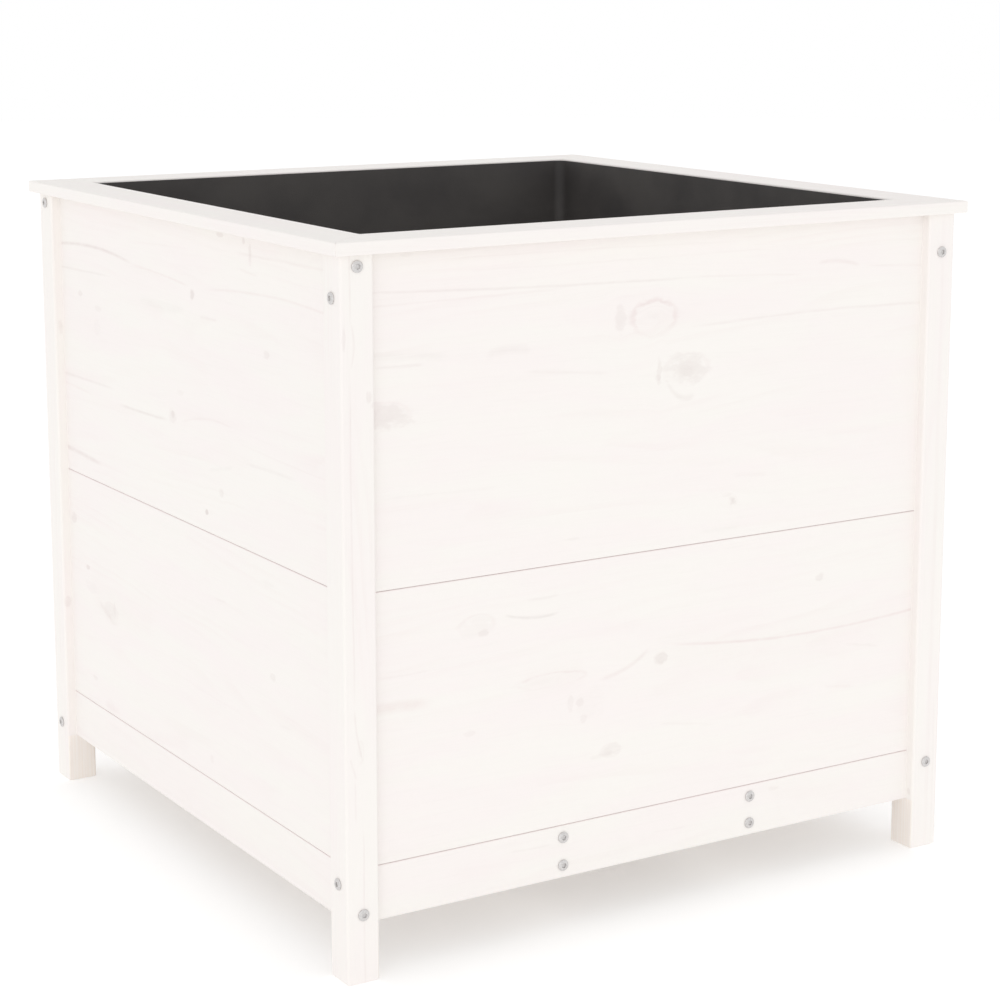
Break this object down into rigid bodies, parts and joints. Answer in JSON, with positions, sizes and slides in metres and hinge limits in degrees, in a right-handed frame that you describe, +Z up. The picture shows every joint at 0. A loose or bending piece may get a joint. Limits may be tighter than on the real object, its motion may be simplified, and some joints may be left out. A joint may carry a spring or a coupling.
{
  "type": "square garden planter",
  "caption": "Square free-standing timber planter: corner posts, boarded sides, flat cap frame, slatted floor and a lift-out liner.",
  "frame": {"origin": "on the ground, at the centre of the planter's footprint", "axes": "+Z up; -Y out of the front, the side that is wide in the picture; -X out of the left side"},
  "size_m": [0.825, 0.825, 0.78],
  "materials": {
    "painted_pine": "thin matt white paint with a faint pink cast, pine grain and knots just showing",
    "inner_pine": "the same thin white paint on planed inner timber",
    "zinc_steel": "grey zinc-plated screw with a darker hexagon socket",
    "liner_plastic": "matt dark grey moulded plastic"
  },
  "bodies": {
    "root": {"back_batten": "inner_pine", "back_bearer_left_lower_screw": "zinc_steel", "back_bearer_left_upper_screw": "zinc_steel", "back_bearer_right_lower_screw": "zinc_steel", "back_bearer_right_upper_screw": "zinc_steel", "back_bottom_rail": "painted_pine", "back_cap_board": "painted_pine", "back_left_bottom_screw": "zinc_steel", "back_left_post": "painted_pine", "back_left_top_screw": "zinc_steel", "back_lower_board": "painted_pine", "back_right_bottom_screw": "zinc_steel", "back_right_post": "painted_pine", "back_right_top_screw": "zinc_steel", "back_upper_board": "painted_pine", "floor_slat_1": "inner_pine", "floor_slat_2": "inner_pine", "floor_slat_3": "inner_pine", "floor_slat_4": "inner_pine", "floor_slat_5": "inner_pine", "floor_slat_6": "inner_pine", "floor_slat_7": "inner_pine", "front_batten": "inner_pine", "front_bearer_left_lower_screw": "zinc_steel", "front_bearer_left_upper_screw": "zinc_steel", "front_bearer_right_lower_screw": "zinc_steel", "front_bearer_right_upper_screw": "zinc_steel", "front_bottom_rail": "painted_pine", "front_cap_board": "painted_pine", "front_left_bottom_screw": "zinc_steel", "front_left_post": "painted_pine", "front_left_top_screw": "zinc_steel", "front_lower_board": "painted_pine", "front_right_bottom_screw": "zinc_steel", "front_right_post": "painted_pine", "front_right_top_screw": "zinc_steel", "front_upper_board": "painted_pine", "left_batten": "inner_pine", "left_bearer": "inner_pine", "left_bottom_rail": "painted_pine", "left_cap_board": "painted_pine", "left_ledger": "inner_pine", "left_left_bottom_screw": "zinc_steel", "left_left_top_screw": "zinc_steel", "left_lower_board": "painted_pine", "left_right_bottom_screw": "zinc_steel", "left_right_top_screw": "zinc_steel", "left_upper_board": "painted_pine", "liner": "liner_plastic", "right_batten": "inner_pine", "right_bearer": "inner_pine", "right_bottom_rail": "painted_pine", "right_cap_board": "painted_pine", "right_ledger": "inner_pine", "right_left_bottom_screw": "zinc_steel", "right_left_top_screw": "zinc_steel", "right_lower_board": "painted_pine", "right_right_bottom_screw": "zinc_steel", "right_right_top_screw": "zinc_steel", "right_upper_board": "painted_pine"}
  },
  "joints": []
}
